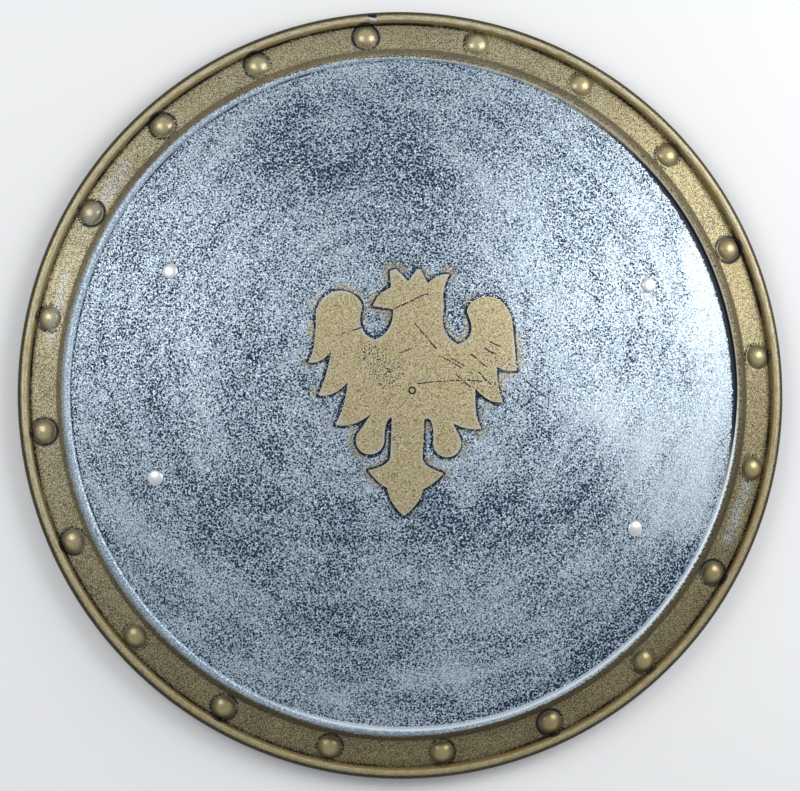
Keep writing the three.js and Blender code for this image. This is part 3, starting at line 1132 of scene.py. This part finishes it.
def unbrushed(front):
    """The other bare plastic: the creases, where no brush reached, the scratches and the chip."""
    finish = front.finish
    mottle = front.wander + (front.grain - 0.5) * 2
    crease = front.ring(BAND_EDGE, 0.55, 0.5) * finish.step(mottle, -0.25, 0.0)
    ring_line = front.ring(RING_FOOT, 0.3, 0.4) * front.towards(150, 50, 20)
    ring_line = ring_line * finish.step(mottle, -0.2, 0.1)
    stud_line = finish.step(abs(front.from_stud - 8.7), 1.7, 0.4) * front.on_gold
    broken = finish.step(front.wander + (front.grain - 0.5) * 1.2, -0.30, 0.05)
    scratch = finish.scratches(finish.wavy(front.flat, 2.0), SILVER_SCRATCHES)
    dark = crease.most(ring_line).most(stud_line * broken).most(front.flank * 0.35)
    dark = dark.most(scratch * finish.step(front.grain, 0.34, 0.46))
    return dark.most(finish.stroke(front.flat, *CHIP, 0.9, 0.4))


def painted_face(paint):
    """The painted front: silver dome, gold band and rim, bare plastic in the creases."""
    finish = Finish("painted_face")
    front = Front(finish)
    silver, silver_bare = silver_layer(front, paint)
    gold = rim_wear_and_painted_light(front, gold_layer(front, paint))
    stray, foot = round_eagle(front)
    strip = bare_strip(front)

    silver = finish.mix(stray, silver, gold)
    colour = finish.mix(front.on_gold.most(strip), silver, gold)
    uncovered = silver_bare * (1 - front.on_gold) * (1 - stray * 0.7) + thin_gold(front)
    uncovered = uncovered.most(strip).most(unbrushed(front)).most(foot)
    plastic = finish.mix(front.on_gold, THIN_SILVER, tuple(paint.plastic))
    colour = finish.mix(uncovered, colour, plastic)
    # A painted highlight: the glint on the chip's inner edge.
    glint = finish.stroke(front.flat, *CHIP_GLINT, 0.45, 0.4)
    finish.set(
        Base_Color=finish.mix(glint, colour, GLINT_BLUE),
        Metallic=(1 - uncovered) * (0.60 - front.wall * 0.3),
        Roughness=0.46 + uncovered * 0.06 - front.on_stud * 0.16,
        Normal=finish.bump(front.grain * -0.8 + front.fine * 0.25, 0.16 * MM, 0.5),
        Specular_IOR_Level=0.25,
    )
    return finish.material


# Worn places on the eagle: start, end, half width, fade and strength.
WORN_PATCHES = [
    ((-26, 22), (-14, 8), 4, 9, 0.9),
    ((-9, -24), (-10, -30), 3, 5, 0.5),
    ((50, 24), (62, 16), 2, 8, 0.5),
    ((40, 8), (50, 2), 3, 9, 0.6),
]

# Scratches on the eagle: start, end and half width.
SCRATCHES = [
    ((-11.6, 51.6), (-4.8, 54.8), 0.30),
    ((-4.8, 54.8), (7.4, 60.5), 0.26),
    ((7.4, 60.5), (13.4, 61.8), 0.20),
    ((1.7, 42.7), (9.4, 33.9), 0.22),
    ((9.4, 33.9), (15.5, 26.2), 0.25),
    ((17.0, 22.0), (38.0, 11.0), 0.20),
    ((3.2, 4.5), (23.5, 6.4), 0.20),
    ((23.5, 6.4), (44.4, 6.1), 0.20),
    ((-38, 38), (-29, 40.5), 0.22),
    ((-44, 36), (-38, 38), 0.18),
    ((38, 23), (48, 15), 0.30),
    ((46, 27), (52, 24), 0.34),
    ((50, 31), (58, 27), 0.24),
    ((25, 20), (33, 16), 0.22),
    ((28, 10), (37, 2), 0.22),
    ((42, 12), (50, 4), 0.30),
    ((-8, 24), (-1, 27), 0.16),
]


def eagle_gold(paint):
    """The eagle's flat top: even gold paint with worn and scratched places, and a painted highlight
    along its edges.
    """
    finish = Finish("eagle_gold")
    place = finish.place()
    x, y, _ = finish.split(place)
    flat = finish.join(x, y, 0.0)
    gap = finish.eagle_gap()
    grain = finish.noise(place, 1.05, 1.0)
    fine = finish.noise(place, 2.1, 1.0)
    cloud = finish.noise(place, 0.03, 3.0, 0.6)
    wear = (cloud - 0.5) * 0.5
    for start, end, half, fade, amount in WORN_PATCHES:
        wear = wear + finish.stroke(flat, start, end, half, fade) * amount
    bare = finish.step(grain + (fine - 0.5) * 0.3 - (0.73 - wear * 0.18), -0.04, 0.05)
    scratch = finish.scratches(finish.wavy(flat, 2.2), SCRATCHES) * finish.step(grain, 0.30, 0.42)
    tip_wear = finish.step(gap, -2.6, -0.4) * finish.step(cloud + (grain - 0.5) * 1.2, 0.60, 0.66)
    mark_ring = finish.step(abs((x * x + y * y) ** 0.5 - 2.0), 0.75, 0.4)
    pale = finish.step(fine + (grain - 0.5) * 0.6, 0.50, 0.38) * 0.6
    aged = finish.step(fine + (grain - 0.5) * 1.2 + (cloud - 0.5) * 0.5, 0.50, 0.62) * 0.55
    # Pale along the top's edges: rubbed paint, and a painted highlight.
    edge_rub_and_highlight = finish.step(gap + (grain - 0.5) * 0.6, -0.6, -0.3)
    shade = 0.90 + (fine - 0.5) * 0.9 + (cloud - 0.5) * 0.3 - (grain - 0.5) * 1.5
    colour = finish.mix(aged, finish.tint(paint.gold, shade), OCHRE)
    colour = finish.mix(pale.most(edge_rub_and_highlight * 0.5), colour, CREAM)
    colour = finish.mix(tip_wear * 0.8, colour, tuple(paint.silver))
    uncovered = bare.most(scratch).most(mark_ring * 0.95)
    colour = finish.mix(uncovered, colour, tuple(paint.plastic))
    finish.set(
        Base_Color=colour,
        Metallic=(1 - uncovered) * 0.55,
        Roughness=0.50 - edge_rub_and_highlight * 0.14,
        Normal=finish.bump(fine * 0.3 - grain * 0.6 - scratch * 1.2, 0.16 * MM, 0.5),
        Specular_IOR_Level=0.35,
    )
    return finish.material


def eagle_side(paint):
    """The eagle's sloping sides: rubbed bright along the top and bare plastic at the foot."""
    finish = Finish("eagle_side")
    place = finish.place()
    gap = finish.eagle_gap()
    mottle = finish.noise(place, 0.33, 2.0, 0.6)
    patch = finish.noise(place, 0.07, 2.0)
    bare = finish.step(gap + (mottle - 0.5) * 1.2 + (patch - 0.5) * 1.2, 0.30, 0.65)
    colour = finish.mix(finish.step(patch, 0.45, 0.60), tuple(paint.gold), tuple(paint.silver))
    colour = finish.mix(bare, colour, tuple(paint.plastic))
    finish.set(
        Base_Color=colour,
        Metallic=(1 - bare) * 0.75,
        Roughness=0.34 + mottle * 0.1,
        Specular_IOR_Level=0.35,
    )
    return finish.material


def plain_plastic(paint):
    """The unpainted back: satin black plastic with a faint moulded grain."""
    finish = Finish("plain_plastic")
    place = finish.place()
    grain = finish.noise(place, 0.7, 2.0, 0.6)
    flow = finish.noise(place, 0.009, 3.0, 0.55, 1.2)
    finish.set(
        Base_Color=finish.tint(tuple(paint.plastic), 0.85 + flow * 0.5),
        Roughness=0.40 + flow * 0.12,
        Normal=finish.bump(grain * 0.6 + flow, 0.1 * MM, 0.4),
    )
    return finish.material


def nickel():
    """Bright nickel plate with fine wear."""
    finish = Finish("nickel_plate")
    place = finish.place()
    wear = finish.noise(place, 0.9, 3.0, 0.6)
    dull = finish.noise(place, 0.26, 2.0)
    finish.set(
        Base_Color=finish.mix(dull, (0.96, 0.96, 0.95), (0.88, 0.88, 0.89)),
        Metallic=0.85,
        Roughness=0.36 + wear * 0.12,
        Normal=finish.bump(wear, 0.02 * MM, 0.3),
    )
    return finish.material


def woven_webbing(paint):
    """Plain woven webbing: ribs along the strap that cross under a fine weft."""
    finish = Finish("woven_webbing")
    weave = finish.scaled(finish.node("ShaderNodeUVMap", {"uv_map": "weave"}), 1 / MM)
    across, along, _ = finish.split(weave)
    rib = across.math("SINE", across * (math.tau / 2.5))
    weft = along * (math.tau / 1.7) + finish.step(rib, -0.2, 0.2) * math.pi
    weft = weft.math("SINE", weft)
    height = abs(rib) * 0.5 + weft * abs(rib) * 0.35
    fuzz = finish.noise(finish.place(), 1.5, 2.0, 0.7)
    finish.set(
        # Painted shade: the colour follows the weave's height, darker in its hollows and lighter on
        # its ribs.
        Base_Color=finish.tint(tuple(paint.webbing), 0.55 + height * 0.7 + fuzz * 0.5),
        Roughness=0.82 + fuzz * 0.1,
        Normal=finish.bump(height + fuzz * 0.25, 0.35 * MM, 0.8),
    )
    return finish.material


# ---------------------------------------------------------------- operators


class SHIELD_OT_moulding(bpy.types.Operator):
    """Build the painted moulding: dome, ring, studded band, rim and eagle in one"""

    bl_idname = "shield.moulding"
    bl_label = "Moulding"

    def execute(self, context):
        paint = context.scene.shield_paint
        finishes = (painted_face, plain_plastic, eagle_gold, eagle_side)
        materials = [finish(paint) for finish in finishes]
        shell = shell_mesh(context.scene.shield_sizes.eagle_slope, materials)
        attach(shell, "root")
        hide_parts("shell")
        return {"FINISHED"}


class SHIELD_OT_rivets(bpy.types.Operator):
    """Build the four double-cap rivets"""

    bl_idname = "shield.rivets"
    bl_label = "Rivets"

    def execute(self, context):
        material = nickel()
        for node in RIVET_NODES:
            rivet = rivet_mesh(node, material)
            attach(rivet, "root")
            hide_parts(node)
        return {"FINISHED"}


class SHIELD_OT_straps(bpy.types.Operator):
    """Build the two webbing arm straps behind the dome"""

    bl_idname = "shield.straps"
    bl_label = "Arm straps"

    def execute(self, context):
        sizes = context.scene.shield_sizes
        material = woven_webbing(context.scene.shield_paint)
        for side in ("left", "right"):
            strap = strap_mesh(
                f"webbing_strap_{side}",
                f"rivet_upper_{side}",
                f"rivet_lower_{side}",
                sizes.strap_width,
                sizes.strap_bow,
                material,
            )
            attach(strap, "root")
            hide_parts(f"arm_strap_{side}")
        return {"FINISHED"}


class SHIELD_OT_stage(bpy.types.Operator):
    """Build the floor, the soft lights and the camera"""

    bl_idname = "shield.stage"
    bl_label = "Stage"

    def execute(self, context):
        scene = context.scene
        stage = scene.shield_stage
        bm = bmesh.new()
        bmesh.ops.create_grid(bm, x_segments=1, y_segments=1, size=FLOOR_HALF)
        bmesh.ops.translate(bm, vec=(0, 0, -FLOOR_GAP), verts=bm.verts)
        finish = Finish("floor")
        finish.set(Base_Color=(*stage.floor, 1), Roughness=0.8)
        as_piece("floor", bm, [finish.material])

        soft_light("softbox_right", RIGHT_SOFTBOX, stage.right_light)
        soft_light("softbox_left", LEFT_SOFTBOX, stage.left_light)

        world = bpy.data.worlds.new("studio")
        world.use_nodes = True
        background = world.node_tree.nodes["Background"]
        background.inputs["Color"].default_value = (*SKY, 1)
        background.inputs["Strength"].default_value = SKY_STRENGTH
        scene.world = world
        scene.view_settings.view_transform = "Standard"

        lens = bpy.data.cameras.new("camera")
        lens.sensor_width = SENSOR_WIDTH
        lens.lens = lens.sensor_width * stage.camera_distance / FRAME_WIDTH
        camera = bpy.data.objects.new("camera", lens)
        right = Vector((0, 1, 0)).cross(CAMERA_DIRECTION).normalized()
        up = CAMERA_DIRECTION.cross(right)
        turn = Matrix((right, up, CAMERA_DIRECTION)).transposed()
        place = Matrix.Translation(CAMERA_TARGET + CAMERA_DIRECTION * stage.camera_distance)
        camera.matrix_world = place @ turn.to_4x4()
        scene.collection.objects.link(camera)
        scene.camera = camera
        return {"FINISHED"}


def soft_light(name, place, power):
    """A soft rectangular light that faces the shield."""
    light = bpy.data.lights.new(name, "AREA")
    light.shape = "RECTANGLE"
    light.size, light.size_y = SOFTBOX_SIZE
    light.energy = power
    lamp = bpy.data.objects.new(name, light)
    lamp.location = place
    lamp.rotation_euler = (-place).to_track_quat("-Z", "Y").to_euler()
    bpy.context.scene.collection.objects.link(lamp)


class SHIELD_PT_panel(bpy.types.Panel):
    """Lists the shield's parts and settings"""

    bl_label = "Round shield"
    bl_idname = "SHIELD_PT_panel"
    bl_space_type = "VIEW_3D"
    bl_region_type = "UI"
    bl_category = "Shield"

    def draw(self, context):
        scene = context.scene
        for group in (scene.shield_sizes, scene.shield_paint, scene.shield_stage):
            for name in group.__annotations__:
                self.layout.prop(group, name)
        for operator in OPERATORS:
            self.layout.operator(operator.bl_idname)


OPERATORS = (SHIELD_OT_moulding, SHIELD_OT_rivets, SHIELD_OT_straps, SHIELD_OT_stage)
SETTINGS = {
    "shield_sizes": ShieldSizes,
    "shield_paint": ShieldPaint,
    "shield_stage": ShieldStage,
}


def register():
    for kind in (*SETTINGS.values(), *OPERATORS, SHIELD_PT_panel):
        bpy.utils.register_class(kind)
    for name, kind in SETTINGS.items():
        setattr(bpy.types.Scene, name, bpy.props.PointerProperty(type=kind))


def unregister():
    for name in SETTINGS:
        delattr(bpy.types.Scene, name)
    for kind in reversed((*SETTINGS.values(), *OPERATORS, SHIELD_PT_panel)):
        bpy.utils.unregister_class(kind)


def main():
    register()
    bpy.ops.shield.moulding()
    bpy.ops.shield.rivets()
    bpy.ops.shield.straps()
    bpy.ops.shield.stage()


if __name__ == "__main__":
    main()
